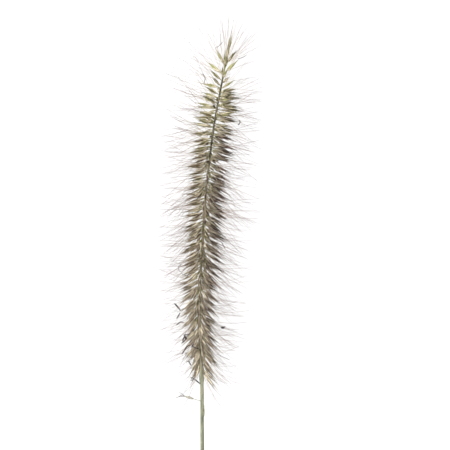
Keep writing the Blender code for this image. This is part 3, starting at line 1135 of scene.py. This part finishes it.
class PLUME_OT_lone_spikelet(Grower, bpy.types.Operator):
    """Grow the withered spikelet that stands alone on the stem"""

    bl_idname = "plume.lone_spikelet"
    bl_label = "Lone spikelet"

    along = -6.1
    turn = math.radians(172)
    lean = math.radians(72)
    stalk_size = 3.2 * MM

    # The two scales: roll in radians, and opening in degrees
    scales = ((0.4, 2), (3.4, 4))

    # The bristles: swing in degrees, and start and length in millimetres
    bristles = ((-24, 3.4, 3.0), (30, 3.6, 2.6), (4, 3.8, 2.2), (62, 5.0, 2.4))

    def grow(self, sizes, colours):
        outward = direction_from_axis(self.along, self.turn, QUARTER_TURN)
        direction = direction_from_axis(self.along, self.turn, self.lean)
        root = axis_point(self.along) + outward * sizes.stem_radius * 0.9
        stalk = model_tube("lone_stalk", 6, self.stalk_size, in_metres(0.17, 0.12, 0.13, 0.16))
        stalk.data.transform(standing(root, direction, 0))
        scale = model_scale("lone_scale", 5 * MM, 0.52 * MM, LEMMA_ROWS, 0.8)
        bristle = model_tube("lone_bristle", 4, 5 * MM, in_metres(0.08, 0.11, 0.13, 0.13, 0.1))
        parts = [stalk]
        foot = root + direction * self.stalk_size * 0.85
        for roll, opened in self.scales:
            copy = add_copy(scale, (0.5, WITHERED[0], 0.0))
            tilt = Matrix.Rotation(math.radians(opened), 4, "X")
            copy.data.transform(standing(foot, direction, roll) @ tilt)
            parts.append(copy)
        for swing, start, size in self.bristles:
            heading = Matrix.Rotation(math.radians(swing), 3, "Z") @ direction
            bend = math.radians(-swing / 2)
            points = marched(foot + direction * start * MM, heading, size * MM, 5, UP, bend, 0)
            parts.append(add_bent_copy(bristle, points, (0.5, *WITHERED)))
        withered = plain_growth_material(
            "withered_scale", colours.withered, darkened(colours.withered, 0.6), 0.75,
            colours.thread)
        settle(join(parts, "withered_spikelet"), withered, "lone_spikelet")
        remove(scale, bristle)


class PLUME_OT_stem_scale(Grower, bpy.types.Operator):
    """Grow the narrow scale along the stem, with its one loose bristle"""

    bl_idname = "plume.stem_scale"
    bl_label = "Stem scale"

    along = -12.0
    turn = math.radians(20)

    def grow(self, sizes, colours):
        outward = direction_from_axis(self.along, self.turn, QUARTER_TURN)
        forward = axis_direction(self.along)
        root = axis_point(self.along) + outward * (sizes.stem_radius + 0.06 * MM)
        scale = model_scale("stem_bract", 4.8 * MM, 0.42 * MM, LEMMA_ROWS, 0.9)
        turned = Matrix((forward.cross(outward), forward, outward)).transposed().to_4x4()
        scale.data.transform(Matrix.Translation(root) @ turned)
        radii = in_metres(0.07, 0.06, 0.06, 0.05, 0.05, 0.04)
        bristle = model_tube("stem_bract_bristle", 3, 4 * MM, radii)
        tip = root + forward * 4.0 * MM
        heading = (outward * 0.9 + forward * 0.25).normalized()
        points = marched(tip, heading, 3.4 * MM, len(radii), UP, math.radians(-70), 0)
        parts = [scale, add_bent_copy(bristle, points, (0.5, 0.9, 0.2))]
        dry = plain_growth_material("dry_bract", colours.dry_scale, colours.withered, 0.6)
        settle(join(parts, "stem_bract"), dry, "stem_scale")
        remove(bristle)


class PLUME_OT_stage(bpy.types.Operator):
    """Set the floor, the light and the camera over the plume"""

    bl_idname = "plume.stage"
    bl_label = "Stage"

    def execute(self, context):
        stage = context.scene.plume_stage
        deselect()
        bpy.ops.mesh.primitive_plane_add(size=6.0)
        floor = context.object
        floor.name = "studio_floor"
        # Opal acrylic over a lamp: an even white that the plume's shadow hardly marks
        table, tree = new_material("opal_light_table")
        finish_material(tree, context.scene.plume_colours.floor, 0.9, **{
            "Emission Color": (1, 1, 1, 1), "Emission Strength": stage.table})
        floor.data.materials.append(table)
        middle = ORIGIN + Vector((*PHOTO_MIDDLE, 10.0)) * MM
        bpy.ops.object.light_add(type="AREA", location=middle + Vector((-0.55, 0.25, 0.8)))
        key = context.object
        key.name = "soft_box"
        key.data.shape = "SQUARE"
        key.data.size = 0.5
        key.data.energy = stage.key
        key.rotation_euler = (middle - key.location).to_track_quat("-Z", "Y").to_euler()
        world = bpy.data.worlds.new("white_studio")
        world.use_nodes = True
        sky = world.node_tree.nodes["Background"].inputs
        sky["Color"].default_value = (1, 1, 1, 1)
        sky["Strength"].default_value = stage.sky
        context.scene.world = world
        bpy.ops.object.camera_add(
            location=middle + UP * stage.camera_height, rotation=(0, 0, 0))
        camera = context.object
        camera.name = "camera"
        camera.data.sensor_width = 36.0
        camera.data.lens = camera.data.sensor_width * stage.camera_height / (PHOTO_SPAN * MM)
        camera.data.clip_start = 0.01
        context.scene.camera = camera
        context.scene.view_settings.view_transform = "Standard"
        return {"FINISHED"}


class PLUME_PT_panel(bpy.types.Panel):
    """The plume's pieces, sizes and colours."""

    bl_idname = "PLUME_PT_panel"
    bl_label = "Fountain grass plume"
    bl_space_type = "VIEW_3D"
    bl_region_type = "UI"
    bl_category = "Plume"

    def draw(self, context):
        for operator in PIECES:
            self.layout.operator(operator.bl_idname)
        for name in GROUPS:
            settings = getattr(context.scene, name)
            box = self.layout.box()
            for setting in settings.__annotations__:
                box.prop(settings, setting)


PIECES = (
    PLUME_OT_stem, PLUME_OT_rachis, PLUME_OT_spikelets, PLUME_OT_bristles, PLUME_OT_hairs,
    PLUME_OT_threads, PLUME_OT_lone_spikelet, PLUME_OT_stem_scale, PLUME_OT_stage,
)
GROUPS = {"plume_sizes": PlumeSizes, "plume_colours": PlumeColours, "plume_stage": PlumeStage}
CLASSES = (*GROUPS.values(), *PIECES, PLUME_PT_panel)


def register():
    for made in CLASSES:
        bpy.utils.register_class(made)
    for name, group in GROUPS.items():
        setattr(bpy.types.Scene, name, PointerProperty(type=group))


def unregister():
    for name in GROUPS:
        delattr(bpy.types.Scene, name)
    for made in reversed(CLASSES):
        bpy.utils.unregister_class(made)


def main():
    register()
    for operator in PIECES:
        family, name = operator.bl_idname.split(".")
        getattr(getattr(bpy.ops, family), name)()


if __name__ == "__main__":
    main()
